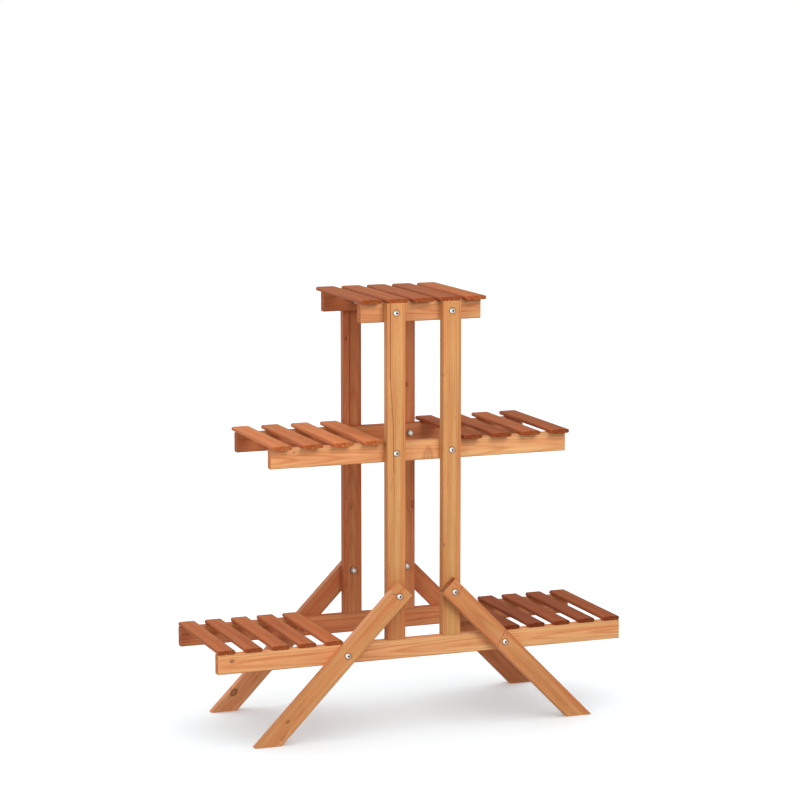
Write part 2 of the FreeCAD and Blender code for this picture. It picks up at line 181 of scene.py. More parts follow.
def set_ramp(ramp, stops):
    """Give a colour ramp its stops, each a position and a grey or a colour."""
    elements = ramp.color_ramp.elements
    while len(elements) < len(stops):
        elements.new(0.5)
    for element, (position, value) in zip(elements, stops):
        element.position = position
        element.color = value if isinstance(value, (list, tuple)) else (value, value, value, 1)


def shade(colour, factors):
    """Colour with its red, green and blue each times a factor."""
    return [part * factor for part, factor in zip(colour, factors)] + [1]


def new_material(name):
    """Empty material, and the tree for its nodes."""
    material = bpy.data.materials.new(name)
    material.use_nodes = True
    material.node_tree.nodes.clear()
    return material, material.node_tree


def new_group(name, inputs, outputs):
    """Empty node group with its sockets, and the sockets that its nodes read."""
    tree = bpy.data.node_groups.new(name, "ShaderNodeTree")
    for in_out, sockets in (("INPUT", inputs), ("OUTPUT", outputs)):
        for socket, kind in sockets.items():
            tree.interface.new_socket(socket, in_out=in_out, socket_type=f"NodeSocket{kind}")
    return tree, add_node(tree, "NodeGroupInput").outputs


def pine_group():
    """Grain of a planed and stained pine board, read in the board's own frame, x along the grain."""
    tree, board = new_group(
        "stained_pine_grain",
        {"Position": "Vector", "Flow": "Vector", "Along": "Vector", "Across": "Vector",
         "Pith": "Vector", "Lean": "Vector", "Half size": "Vector", "Ring width": "Float",
         "Wander": "Float", "Figure": "Float", "Edge": "Float", "End": "Float", "Knot": "Float",
         "Scar": "Float", "Base": "Color", "Light": "Color", "Dark": "Color", "Side": "Color"},
        {"Color": "Color", "Roughness": "Float", "Height": "Float"})

    # The grain wanders a few millimetres over a hand's length
    slow = add_node(tree, "VectorMath", {0: board["Flow"], 1: (3, 12, 12)}, operation="MULTIPLY")
    wander = add_node(tree, "TexNoise", {"Vector": slow, "Scale": 1, "Detail": 1})
    centred = add_node(
        tree, "VectorMath", {0: wander.outputs["Color"], 1: (0.5, 0.5, 0.5)}, operation="SUBTRACT")
    shift = add_node(tree, "VectorMath", {0: centred, "Scale": board["Wander"]}, operation="SCALE")
    wandered = add_node(tree, "VectorMath", {0: board["Flow"], 1: shift}, operation="ADD")

    # Distance from the pith, which leans a little out of the board's own direction
    along = add_node(tree, "SeparateXYZ", {0: board["Position"]})
    lean = add_node(
        tree, "VectorMath", {0: board["Lean"], "Scale": along.outputs["X"]}, operation="SCALE")
    pith = add_node(tree, "VectorMath", {0: board["Pith"], 1: lean}, operation="ADD")
    from_pith = add_node(tree, "VectorMath", {0: wandered, 1: pith}, operation="SUBTRACT")
    across = add_node(tree, "VectorMath", {0: from_pith, 1: (0, 1, 1)}, operation="MULTIPLY")
    radius = add_node(tree, "VectorMath", {0: across}, operation="LENGTH")
    rings = add_node(
        tree, "Math", {0: radius.outputs["Value"], 1: board["Ring width"]}, operation="DIVIDE")
    year = add_node(tree, "Math", {0: rings}, operation="FLOOR")
    season = add_node(tree, "Math", {0: rings}, operation="FRACT")
    strength = add_node(tree, "TexWhiteNoise", {"W": year}, noise_dimensions="1D")

    # The sawn ends show the rings most
    facing = add_node(tree, "NewGeometry")
    cosine = add_node(
        tree, "VectorMath", {0: facing.outputs["Normal"], 1: board["Along"]}, operation="DOT_PRODUCT")
    end = add_node(tree, "Math", {0: cosine.outputs["Value"]}, operation="ABSOLUTE")
    end_amount = add_node(tree, "MapRange", {"Value": end, "From Min": 0.55, "From Max": 0.75})

    # Early wood is broad, late wood ends each year in a thin darker line
    light = add_node(tree, "ValToRGB", {0: season})
    set_ramp(light, ((0.0, 0.1), (0.22, 1.0), (0.50, 0.9), (0.80, 0.0), (1.0, 0.0)))
    dark = add_node(tree, "ValToRGB", {0: season})
    set_ramp(dark, ((0.0, 0.3), (0.12, 0.0), (0.62, 0.0), (0.90, 1.0), (1.0, 0.4)))
    weight = add_node(
        tree, "MapRange", {"Value": strength.outputs["Value"], "To Min": 0.1, "To Max": 1.0})
    drawn = add_node(tree, "Math", {0: end_amount, 1: board["Figure"]}, operation="MAXIMUM")
    figure = add_node(tree, "Math", {0: weight, 1: drawn}, operation="MULTIPLY")
    light_amount = add_node(tree, "Math", {0: light, 1: figure}, operation="MULTIPLY")
    dark_amount = add_node(tree, "Math", {0: dark, 1: figure}, operation="MULTIPLY")
    lit = add_node(
        tree, "Mix",
        {"Factor": light_amount, MIX_A: board["Base"], MIX_B: board["Light"]}, data_type="RGBA")
    grained = add_node(
        tree, "Mix",
        {"Factor": dark_amount, MIX_A: lit.outputs[MIXED], MIX_B: board["Dark"]}, data_type="RGBA")

    # Patterns of the wood: where each is read, how often it changes in a metre along the board, across
    # it and through it, its detail, and the tones that it gives from one value of its noise to another
    patterns, tones = {}, {}
    for name, place, scale, detail, (low, high), (first, last) in (
            # Fibres, one or two millimetres apart and drawn out along the grain
            ("fibres", wandered, (14, 800, 800), 3, (0.3, 0.7), (0.90, 1.08)),
            # Streaks of sapwood as wide as a few years
            ("streaks", wandered, (2.5, 110, 110), 2, (0.3, 0.7), (0.88, 1.10)),
            # The oil went in unevenly, in clouds as wide as a finger
            ("clouds", board["Position"], (7, 24, 24), 2, (0.3, 0.7), (0.93, 1.06)),
            # Short dark flecks are resin ducts, drawn coarser than the real ones so that they show
            ("flecks", wandered, (45, 620, 620), 0, (0.68, 0.78), (1.0, 0.86)),
            # The saw left the ends rough, in ridges two to four millimetres apart
            ("ridges", board["Position"], (60, 420, 120), 2, (0.35, 0.65), (0.62, 1.05)),
            # Broad zones run from pink heartwood to honey-coloured sapwood
            ("zones", wandered, (1.5, 45, 45), 1, (0.38, 0.62), (0.0, 1.0))):
        stretched = add_node(tree, "VectorMath", {0: place, 1: scale}, operation="MULTIPLY")
        patterns[name] = add_node(
            tree, "TexNoise", {"Vector": stretched, "Scale": 1, "Detail": detail})
        tones[name] = add_node(
            tree, "MapRange",
            {"Value": patterns[name], "From Min": low, "From Max": high,
             "To Min": first, "To Max": last})

    # The rounded edges are darker, and the oil gathers in the open pores of the sawn ends
    size = add_node(tree, "VectorMath", {0: board["Position"]}, operation="ABSOLUTE")
    inset = add_node(tree, "VectorMath", {0: board["Half size"], 1: size}, operation="SUBTRACT")
    insets = add_node(tree, "SeparateXYZ", {0: inset})
    corner = add_node(tree, "Math", {0: insets.outputs["Y"], 1: insets.outputs["Z"]}, operation="ADD")
    edge_tone = add_node(
        tree, "MapRange",
        {"Value": corner, "From Min": 0.6 * MM, "From Max": 2.6 * MM,
         "To Min": board["Edge"], "To Max": 1.0})
    soaked = add_node(tree, "Math", {0: tones["ridges"], 1: board["End"]}, operation="MULTIPLY")
    end_tone = add_node(
        tree, "Mix", {"Factor": end_amount, VALUE_A: 1.0, VALUE_B: soaked}, data_type="FLOAT")

    tone = tones["fibres"]
    for part in (tones["streaks"], tones["clouds"], tones["flecks"], edge_tone, end_tone):
        tone = add_node(tree, "Math", {0: tone, 1: part}, operation="MULTIPLY")
    toned = add_node(tree, "VectorMath", {0: grained.outputs[MIXED], "Scale": tone}, operation="SCALE")
    # More oil is also redder, and so are the sawn ends
    depth = add_node(tree, "MapRange", {"Value": tone, "From Min": 0.6, "From Max": 1.1})
    long_grain = add_node(tree, "Math", {0: 1.0, 1: end_amount}, operation="SUBTRACT")
    plain = add_node(tree, "Math", {0: depth, 1: long_grain}, operation="MULTIPLY")
    tint = add_node(
        tree, "Mix",
        {"Factor": plain, MIX_A: (1.10, 0.82, 0.72, 1), MIX_B: (1.0, 1.0, 1.0, 1)}, data_type="RGBA")
    # Painted light and shade on the narrow sides: lighter on the legs, darker and redder on the rails and
    # slats
    sideways = add_node(
        tree, "VectorMath", {0: facing.outputs["Normal"], 1: board["Across"]}, operation="DOT_PRODUCT")
    edgewise = add_node(tree, "Math", {0: sideways.outputs["Value"]}, operation="ABSOLUTE")
    side_shading_amount = add_node(tree, "MapRange", {"Value": edgewise, "From Min": 0.3, "From Max": 0.9})
    side = add_node(
        tree, "Mix",
        {"Factor": side_shading_amount, MIX_A: (1.0, 1.0, 1.0, 1), MIX_B: board["Side"]}, data_type="RGBA")
    zone = add_node(
        tree, "Mix",
        {"Factor": tones["zones"], MIX_A: (1.05, 0.94, 0.90, 1), MIX_B: (0.98, 1.05, 1.03, 1)},
        data_type="RGBA")
    tinted = toned
    for part in (tint, side, zone):
        tinted = add_node(tree, "VectorMath", {0: tinted, 1: part.outputs[MIXED]}, operation="MULTIPLY")
    knotted = add_node(
        tree, "Mix", {"Factor": board["Knot"], MIX_A: tinted, MIX_B: linear("#4E2210")}, data_type="RGBA")
    scarred = add_node(
        tree, "Mix",
        {"Factor": board["Scar"], MIX_A: knotted.outputs[MIXED], MIX_B: linear("#6E2C10")},
        data_type="RGBA")

    rough = add_node(
        tree, "MapRange",
        {"Value": patterns["fibres"], "From Min": 0.3, "From Max": 0.7, "To Min": 0.50, "To Max": 0.66})
    rougher = add_node(tree, "MapRange", {"Value": end_amount, "To Min": 0.0, "To Max": 0.25})
    roughness = add_node(tree, "Math", {0: rough, 1: rougher}, operation="ADD")
    ridge_height = add_node(tree, "Math", {0: patterns["ridges"], 1: end_amount}, operation="MULTIPLY")
    height = patterns["fibres"]
    for part in (dark_amount, ridge_height, ridge_height, ridge_height):
        height = add_node(tree, "Math", {0: height, 1: part}, operation="ADD")
    cracked = add_node(tree, "Math", {0: board["Scar"], 1: -3.0, 2: height}, operation="MULTIPLY_ADD")
    add_node(tree, "NodeGroupOutput", {
        "Color": scarred.outputs[MIXED], "Roughness": roughness, "Height": cracked})
    return tree


def knot_group():
    """Oval knot with a dark rim, and the grain that flows round it."""
    tree, knot = new_group(
        "pine_knot",
        {"Position": "Vector", "Flow": "Vector", "Centre": "Vector", "Radius": "Float",
         "Strength": "Float", "Knot": "Float"},
        {"Flow": "Vector", "Knot": "Float"})
    away = add_node(tree, "VectorMath", {0: knot["Position"], 1: knot["Centre"]}, operation="SUBTRACT")
    oval = add_node(tree, "VectorMath", {0: away, 1: (0.7, 1, 0)}, operation="MULTIPLY")
    reach = add_node(tree, "VectorMath", {0: oval}, operation="LENGTH")
    ratio = add_node(tree, "Math", {0: reach.outputs["Value"], 1: knot["Radius"]}, operation="DIVIDE")
    # Its outline is ragged by a millimetre
    ragged = add_node(tree, "TexNoise", {"Vector": knot["Position"], "Scale": 330, "Detail": 2})
    rim = add_node(tree, "Math", {0: ragged, 1: 0.8, 2: ratio}, operation="MULTIPLY_ADD")
    inside = add_node(tree, "MapRange", {"Value": rim, "From Min": 0.4, "From Max": 1.6})
    rings = add_node(tree, "ValToRGB", {0: inside})
    set_ramp(rings, ((0.0, 1.0), (0.16, 0.45), (0.40, 0.35), (0.60, 1.0), (0.95, 0.0)))
    depth = add_node(tree, "Math", {0: rings, 1: knot["Strength"]}, operation="MULTIPLY")
    darkest = add_node(tree, "Math", {0: depth, 1: knot["Knot"]}, operation="MAXIMUM")
    # Grain that would have run through the knot runs round it
    hump = add_node(
        tree, "MapRange",
        {"Value": ratio, "From Min": 0.0, "From Max": 4.0, "To Min": 0.9, "To Max": 0.0},
        interpolation_type="SMOOTHSTEP")
    round_it = add_node(tree, "VectorMath", {0: away, 1: (0.2, 1, 0)}, operation="MULTIPLY")
    pull = add_node(tree, "VectorMath", {0: round_it, "Scale": hump}, operation="SCALE")
    flow = add_node(tree, "VectorMath", {0: knot["Flow"], 1: pull}, operation="SUBTRACT")
    add_node(tree, "NodeGroupOutput", {"Flow": flow, "Knot": darkest})
    return tree


def scar_group():
    """Thin dark line on the face of a board, such as a drying crack or a scribed mark."""
    tree, scar = new_group(
        "pine_scar",
        {"Position": "Vector", "Start": "Vector", "End": "Vector", "Width": "Float",
         "Strength": "Float", "Scar": "Float"},
        {"Scar": "Float"})
    run = add_node(tree, "VectorMath", {0: scar["End"], 1: scar["Start"]}, operation="SUBTRACT")
    away = add_node(tree, "VectorMath", {0: scar["Position"], 1: scar["Start"]}, operation="SUBTRACT")
    flat = add_node(tree, "VectorMath", {0: away, 1: (1, 1, 0)}, operation="MULTIPLY")
    reach = add_node(tree, "VectorMath", {0: flat, 1: run}, operation="DOT_PRODUCT")
    square = add_node(tree, "VectorMath", {0: run, 1: run}, operation="DOT_PRODUCT")
    share = add_node(
        tree, "Math",
        {0: reach.outputs["Value"], 1: square.outputs["Value"]}, operation="DIVIDE", use_clamp=True)
    nearest = add_node(tree, "VectorMath", {0: run, "Scale": share}, operation="SCALE")
    gap = add_node(tree, "VectorMath", {0: flat, 1: nearest}, operation="DISTANCE")
    inside = add_node(
        tree, "Math", {0: gap.outputs["Value"], 1: scar["Width"]}, operation="DIVIDE", use_clamp=True)
    line = add_node(
        tree, "MapRange",
        {"Value": inside, "From Min": 0.3, "From Max": 1.0, "To Min": scar["Strength"], "To Max": 0.0})
    darkest = add_node(tree, "Math", {0: line, 1: scar["Scar"]}, operation="MAXIMUM")
    add_node(tree, "NodeGroupOutput", {"Scar": darkest})
    return tree


def pine_groups():
    """The grain, knot and scar groups, made once."""
    made = []
    for name, make in (
            ("stained_pine_grain", pine_group), ("pine_knot", knot_group), ("pine_scar", scar_group)):
        made.append(bpy.data.node_groups.get(name) or make())
    return made


class Board:
    """Where a board of the frame lies: its own axes, its middle and half its width and thickness."""

    def __init__(self, name, look):
        low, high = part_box(name)
        self.name = name
        self.kind = name.split("_")[0] if name.startswith(("post", "leg")) else name.split("_")[1]
        middle = (low + high) / 2
        size = (high - low) / 2
        if self.kind == "rail":
            self.along, self.across = RIGHT, UP
            self.half = Vector((size.x, size.z, size.y))
        elif self.kind == "post":
            self.along, self.across = UP, RIGHT
            self.half = Vector((size.z, size.x, size.y))
        elif self.kind == "slat":
            self.along, self.across = BACK, -RIGHT
            self.half = Vector((size.y, size.x, size.z))
        else:
            side = 1 if middle.x > 0 else -1
            slope = look.leg_slope
            post_low, post_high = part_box("post_front_left")
            half_width = (post_high.x - post_low.x) / 2
            self.along = Vector((-side * math.cos(slope), 0, math.sin(slope)))
            self.across = Vector((side * math.sin(slope), 0, math.cos(slope)))
            outer = high.x if side > 0 else low.x
            middle = Vector((outer - side * half_width / math.sin(slope), middle.y, 0))
            # Measured from its foot, so its half length stands for no size
            self.half = Vector((1, half_width, size.y))
        self.middle = middle
        self.chance = random.Random(name)

    def turn(self):
        """Turn from the board's own axes to the frame's."""
        axes = (self.along, self.across, self.along.cross(self.across))
        return Matrix(axes).transposed().to_euler()


# What differs between the kinds of boards: how strong the figure is, how wide the rings are against the
# rest, the tone of the darker rounded edges and of the sawn ends, the tint of painted light or shade on
# the narrow sides, how much the oil shines and how far boards of the kind lie apart in tone
KINDS = {
    "post": {"figure": 0.5, "rings": 0.9, "edge": 0.84, "end": 1.0, "side": (1.02, 1.0, 0.98, 1),
             "shine": 0.22, "spread": 0.04},
    "rail": {"figure": 0.75, "rings": 0.7, "edge": 0.84, "end": 1.0, "side": (1.0, 0.92, 0.86, 1),
             "shine": 0.22, "spread": 0.04},
    "leg": {"figure": 0.38, "rings": 0.85, "edge": 0.84, "end": 0.62, "side": (1.16, 1.16, 1.22, 1),
            "shine": 0.22, "spread": 0.04},
    "slat": {"figure": 0.6, "rings": 1.0, "edge": 0.66, "end": 0.72, "side": (0.98, 0.86, 0.78, 1),
             "shine": 0.10, "spread": 0.14},
}

# Knots that show: distance along the board from its middle, or from the foot of a leg, distance
# across it, radius in millimetres and how dark
KNOTS = {
    "bottom_rail_front": ((-387, 6, 3.5, 0.85),),
    "middle_rail_front": ((-257, 10, 2.5, 0.5),),
    "leg_back_left": ((41, 12, 6.5, 0.95),),
    "leg_front_left": ((60, 5, 3, 0.8), (30, -8, 4, 0.3)),
    "post_front_right": ((-147, -15, 3, 0.4), (183, -17, 2.5, 0.3)),
    "post_back_left": (
        (-90, -14, 2, 0.6), (-108, -3, 2.5, 0.6), (-135, -14, 2, 0.6), (-265, -14, 2.5, 0.5),
        (230, -14, 3, 0.6)),
    "post_back_right": ((132, -1, 3.5, 1.0), (-111, 15, 6, 0.6)),
}

# Cracks and scribed marks: the points of each line, in millimetres as above, its width and how dark
SCARS = {
    "post_front_left": (
        (((325, -12.5), (180, -12.3)), 1.3, 0.85),
        (((180, -12.3), (100, -6.8), (0, -5.2)), 1.1, 0.7),
        (((0, -5.2), (-45, -5.0)), 0.8, 0.3)),
    "post_front_right": (
        (((325, 9), (60, 8)), 1.0, 0.28),
        (((325, 14), (0, 13)), 1.0, 0.25),
        (((320, 5.5), (120, 5)), 0.9, 0.22),
        (((325, -4.5), (150, -5)), 0.9, 0.18)),
    "post_back_left": ((((325, -5.0), (-30, -6.5)), 1.4, 0.8),),
    "middle_rail_front": (
        (((6, -19), (9, -6), (15, 4), (21, -6), (24, -19)), 6.0, 0.33),
        (((15, -19), (15, -8)), 4.0, 0.33)),
    "leg_front_right": (
        (((376, 19), (369, 1)), 1.0, 0.6),
        (((245, 19), (235, -15)), 1.0, 0.65),
        (((240, 19), (236, 11)), 0.9, 0.5)),
    "leg_front_left": ((((377, 9), (373, 13)), 2.0, 0.6),),
}

# Where the pith of a board ran: across the board and behind its front face in millimetres, and how
# much each changes along it. Near the face it gives pointed flames, far to a side straight lines
PITHS = {
    "bottom_rail_front": (-3, 26, 0.0, -0.022),
    "middle_rail_front": (-6, 34, -0.01, 0.025),
    "top_rail_front": (6, 30, 0.0, -0.03),
    "post_front_left": (62, 6, 0.006, 0.01),
    "post_front_right": (-70, 8, -0.004, 0.01),
    "leg_front_left": (48, 12, -0.02, 0.02),
    "leg_front_right": (-6, 34, 0.01, 0.03),
}

# Share of the other boards that were sawn near the pith
NEAR_PITH = 0.3

# How light each board came out, against its oil: the darker ones are also redder. The right-hand slats of
# the bottom and middle shelves are darker as painted shade
TONES = {
    "bottom_rail_front": 1.08,
    "top_rail_front": 0.84,
    "leg_front_left": 0.95,
    "leg_front_right": 0.90,
    "bottom_rail_back": 1.15,
    "leg_back_left": 0.98,
    "post_back_left": 0.96,
    "post_back_right": 1.16,
    "top_slat": 1.04,
    "middle_slat_left": 1.26,
    "middle_slat_right": 0.84,
    "bottom_slat_left": 0.95,
    "bottom_slat_right": 0.62,
}

# Boards whose lower end is another colour: that colour against the rest, and where it begins and ends
# along the board in millimetres. The back-left leg's lighter foot is painted light, where the rest of the
# back frame is in painted shade
FEET = {
    "post_front_left": ((0.86, 0.66, 0.64, 1), -280, -170),
    "leg_back_left": ((1.6, 2.0, 2.3, 1), 110, 230),
}


def deepen(colour, tone):
    """Linear colour of the same wood at another tone, the darker also redder: less or more oil, and
    painted shade on the boards whose tone stands for shade.
    """
    return [colour[0] * tone, colour[1] * tone ** 1.35, colour[2] * tone ** 1.5, 1]


def board_tone(name):
    """Tone of a board, or of the bay that it is in."""
    return TONES.get(name, TONES.get(name.rsplit("_", 1)[0], 1.0))


# Painted contact shade in a dark ring round a bolt head: where it begins and ends outside a bolt's rim,
# and how dark it is
RING_BEGIN, RING_END, RING_DEPTH = 0.4 * MM, 2.2 * MM, 0.6

# Spot round a brad: how many of its radii it spans, and how dark it is
SPOT_REACH, SPOT_DEPTH = 2.4, 0.85

# A bolt through a board has its middle at most this far outside the board
BOLT_REACH = 12 * MM

# Points this near to each other are one, and points this near to a plane or circle lie on it
SAME_POINT, ON_PLACE = 0.001 * MM, 0.01 * MM


def bolt_boxes():
    """Lowest and highest corner of each bolt, from the loose parts of the bolts' mesh."""
    shape = bmesh.new()
    shape.from_mesh(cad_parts["frame_bolts"].data)
    bmesh.ops.remove_doubles(shape, verts=shape.verts, dist=SAME_POINT)
    left = set(shape.verts)
    boxes = []
    while left:
        part, edge = [], [left.pop()]
        while edge:
            vertex = edge.pop()
            part.append(vertex.co.copy())
            near = {link.other_vert(vertex) for link in vertex.link_edges} & left
            left -= near
            edge.extend(near)
        low, high = [
            Vector([pick(co[axis] for co in part) for axis in range(3)]) for pick in (min, max)]
        boxes.append((low, high))
    shape.free()
    return sorted(boxes, key=lambda box: tuple(round(value, 5) for value in box[0]))


def bolt_contact_shade(tree, own, board, metal, bolts):
    """Painted contact shade in a dark ring round each bolt through a board."""
    ring = None
    rim = metal.head / 2
    for low, high in bolts:
        offset = (low + high) / 2 - board.middle
        x, y = offset.dot(board.along), offset.dot(board.across)
        beside = abs(offset.y) > board.half.z + BOLT_REACH or abs(y) > board.half.y
        if beside or (board.kind != "leg" and abs(x) > board.half.x):
            continue
        flat = add_node(tree, "VectorMath", {0: own, 1: (1, 1, 0)}, operation="MULTIPLY")
        gap = add_node(tree, "VectorMath", {0: flat, 1: (x, y, 0)}, operation="DISTANCE")
        dark = add_node(
            tree, "MapRange",
            {"Value": gap.outputs["Value"], "From Min": rim + RING_BEGIN, "From Max": rim + RING_END,
             "To Min": RING_DEPTH, "To Max": 0.0})
        if ring:
            dark = add_node(tree, "Math", {0: dark, 1: ring}, operation="MAXIMUM")
        ring = dark
    return ring


def brad_ring(tree, own, board, metal):
    """Dark spot round each of the four brads through a slat, alike in its four corners."""
    shelf = board.name.split("_")[0]
    radius = metal.brad / 2
    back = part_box(f"{shelf}_slat_brads")[1].y - radius
    mirrored = add_node(tree, "VectorMath", {0: own}, operation="ABSOLUTE")
    flat = add_node(tree, "VectorMath", {0: mirrored, 1: (1, 1, 0)}, operation="MULTIPLY")
    gap = add_node(
        tree, "VectorMath", {0: flat, 1: (back, metal.brad_spread / 2, 0)}, operation="DISTANCE")
    return add_node(
        tree, "MapRange",
        {"Value": gap.outputs["Value"], "From Min": radius, "From Max": SPOT_REACH * radius,
         "To Min": SPOT_DEPTH, "To Max": 0.0})


def pine_material(board, oil, scene, groups, bolts):
    """Pine, planed, sawn across its ends and oiled: satin, with soft rings and fine fibres."""
    look, metal = scene.plant_stand_wood, scene.plant_stand_metal
    grain, knot, scar = groups
    material, tree = new_material(f"stained_pine_{board.name}")
    kind, chance = KINDS[board.kind], board.chance
    place = add_node(tree, "TexCoord")
    own = add_node(
        tree, "Mapping",
        {"Vector": place.outputs["Object"], "Location": board.middle, "Rotation": board.turn()},
        vector_type="TEXTURE")
    if board.name in PITHS:
        side, behind, side_change, depth_change = PITHS[board.name]
    elif chance.random() < NEAR_PITH:
        side, behind = chance.uniform(-10, 10), chance.choice((-1, 1)) * chance.uniform(18, 45)
        side_change, depth_change = chance.uniform(-0.01, 0.01), chance.uniform(-0.05, 0.05)
    else:
        side, behind = chance.choice((-1, 1)) * chance.uniform(35, 80), chance.uniform(-15, 15)
        side_change, depth_change = chance.uniform(-0.02, 0.02), chance.uniform(-0.02, 0.02)
    spread = kind["spread"]
    base = deepen(oil, board_tone(board.name) * chance.uniform(1 - spread, 1 + spread))
    flow, dark, line = own, 0.0, 0.0
    for x, y, radius, strength in KNOTS.get(board.name, ()):
        node = add_node(
            tree, "Group",
            {"Position": own, "Flow": flow, "Centre": (x * MM, y * MM, 0), "Radius": radius * MM,
             "Strength": strength, "Knot": dark},
            node_tree=knot)
        flow, dark = node.outputs["Flow"], node.outputs["Knot"]
    for points, width, strength in SCARS.get(board.name, ()):
        for (x, y), (next_x, next_y) in zip(points, points[1:]):
            line = add_node(
                tree, "Group",
                {"Position": own, "Start": (x * MM, y * MM, 0), "End": (next_x * MM, next_y * MM, 0),
                 "Width": width * MM, "Strength": strength, "Scar": line},
                node_tree=scar)
    pine = add_node(
        tree, "Group",
        {"Position": own, "Flow": flow, "Along": board.along, "Across": board.across,
         "Pith": (0, side * MM, behind * MM), "Lean": (0, side_change, depth_change),
         "Half size": board.half,
         "Ring width": look.ring_width * kind["rings"] * chance.uniform(0.9, 1.1),
         "Wander": 6 * MM, "Figure": kind["figure"], "Edge": kind["edge"], "End": kind["end"],
         "Knot": dark, "Scar": line, "Base": base, "Light": shade(base, EARLY_WOOD),
         "Dark": shade(base, LATE_WOOD), "Side": kind["side"]},
        node_tree=grain)
    colour = pine.outputs["Color"]
    # Another colour at the lower end of some boards; on the back-left leg this lighter foot is painted
    # light
    if board.name in FEET:
        foot_colour, begin, end = FEET[board.name]
        along = add_node(tree, "SeparateXYZ", {0: own})
        above = add_node(
            tree, "MapRange", {"Value": along.outputs["X"], "From Min": begin * MM, "From Max": end * MM})
        foot = add_node(
            tree, "Mix", {"Factor": above, MIX_A: foot_colour, MIX_B: (1, 1, 1, 1)}, data_type="RGBA")
        colour = add_node(
            tree, "VectorMath", {0: colour, 1: foot.outputs[MIXED]}, operation="MULTIPLY").outputs[0]
    if board.kind == "slat":
        ring = brad_ring(tree, own, board, metal)
    else:
        ring = bolt_contact_shade(tree, own, board, metal, bolts)
    # Dark colour mixed in: painted contact shade round the bolt heads, and on a slat the dark spot round
    # its brads
    if ring:
        colour = add_node(
            tree, "Mix",
            {"Factor": ring, MIX_A: colour, MIX_B: linear("#2E140A")}, data_type="RGBA").outputs[MIXED]
    bump = add_node(
        tree, "Bump", {"Height": pine.outputs["Height"], "Strength": 0.35, "Distance": 0.25 * MM})
    surface = add_node(
        tree, "BsdfPrincipled",
        {"Base Color": colour, "Roughness": pine.outputs["Roughness"],
         "Normal": bump, "IOR": OIL_IOR, "Specular IOR Level": kind["shine"]})
    add_node(tree, "OutputMaterial", {"Surface": surface})
    return material


def finish_metal(tree, pattern, colour, tarnish, roughness):
    """Give a tree the surface of a metal whose tone and polish follow a pattern."""
    smooth, dull = roughness
    polish = add_node(
        tree, "MapRange",
        {"Value": pattern, "From Min": 0.3, "From Max": 0.7, "To Min": smooth, "To Max": dull})
    tone = add_node(
        tree, "Mix",
        {"Factor": pattern, MIX_A: shade(colour, [tarnish] * 3), MIX_B: colour}, data_type="RGBA")
    surface = add_node(
        tree, "BsdfPrincipled", {"Base Color": tone.outputs[MIXED], "Metallic": 1.0, "Roughness": polish})
    add_node(tree, "OutputMaterial", {"Surface": surface})


def zinc_material(name, colour):
    """Steel plated with zinc: a hard mirror gone faintly cloudy."""
    material, tree = new_material(name)
    place = add_node(tree, "TexCoord")
    # Crystals of the plate, about a millimetre across
    clouds = add_node(tree, "TexNoise", {"Vector": place.outputs["Object"], "Scale": 900, "Detail": 3})
    finish_metal(tree, clouds, colour, 0.78, (0.28, 0.44))
    return material


def wire_material(colour):
    """Bright steel wire: fine lines from the drawing die, up the length of each brad."""
    material, tree = new_material("drawn_steel_wire")
    place = add_node(tree, "TexCoord")
    # Lines a quarter of a millimetre apart
    lines = add_node(tree, "Mapping", {"Vector": place.outputs["Object"], "Scale": (4000, 4000, 100)})
    drawn = add_node(tree, "TexNoise", {"Vector": lines, "Scale": 1, "Detail": 2})
    finish_metal(tree, drawn, colour, 0.7, (0.28, 0.45))
    return material


def beech_material():
    """Turned beech: pale and close-grained, with short brown ray flecks."""
    material, tree = new_material("turned_beech")
    place = add_node(tree, "TexCoord")
    # Rays two millimetres long and a third of a millimetre wide
    rays = add_node(tree, "Mapping", {"Vector": place.outputs["Object"], "Scale": (3000, 500, 3000)})
    flecks = add_node(tree, "TexNoise", {"Vector": rays, "Scale": 1, "Detail": 1})
    amount = add_node(tree, "MapRange", {"Value": flecks, "From Min": 0.55, "From Max": 0.68})
    colour = add_node(
        tree, "Mix",
        {"Factor": amount, MIX_A: linear("#CDB083"), MIX_B: linear("#A9855A")}, data_type="RGBA")
    bump = add_node(tree, "Bump", {"Height": flecks, "Strength": 0.3, "Distance": 0.1 * MM})
    surface = add_node(
        tree, "BsdfPrincipled",
        {"Base Color": colour.outputs[MIXED], "Roughness": 0.6, "Normal": bump, "IOR": OIL_IOR})
    add_node(tree, "OutputMaterial", {"Surface": surface})
    return material


def paper_material(colour):
    """Seamless paper of a studio floor, matt and faintly mottled."""
    material, tree = new_material("matt_paper")
    place = add_node(tree, "TexCoord")
    mottle = add_node(tree, "TexNoise", {"Vector": place.outputs["Object"], "Scale": 3, "Detail": 2})
    paper = add_node(
        tree, "Mix",
        {"Factor": mottle, MIX_A: shade(colour, [0.99] * 3), MIX_B: colour}, data_type="RGBA")
    surface = add_node(tree, "BsdfPrincipled", {"Base Color": paper.outputs[MIXED], "Roughness": 0.9})
    add_node(tree, "OutputMaterial", {"Surface": surface})
    return material


# ------------ pieces

def dress(node, material):
    """Give a node of the frame its finish."""
    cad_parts[node].data.materials[0] = material


def oil_boards(scene, kind):
    """Oil all the boards of one kind."""
    look = scene.plant_stand_wood
    oils = {"post": look.post_oil, "rail": look.rail_oil, "leg": look.leg_oil, "slat": look.slat_oil}
    groups = pine_groups()
    bolts = bolt_boxes()
    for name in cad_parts:
        if name.startswith("frame_") or name.endswith(("brads", "dowels")):
            continue
        board = Board(name, look)
        if board.kind == kind:
            # The back boards take the darker colour, which is painted shade
            oil = look.back_shaded_oil if "_back" in name else oils[kind]
            dress(name, pine_material(board, oil, scene, groups, bolts))


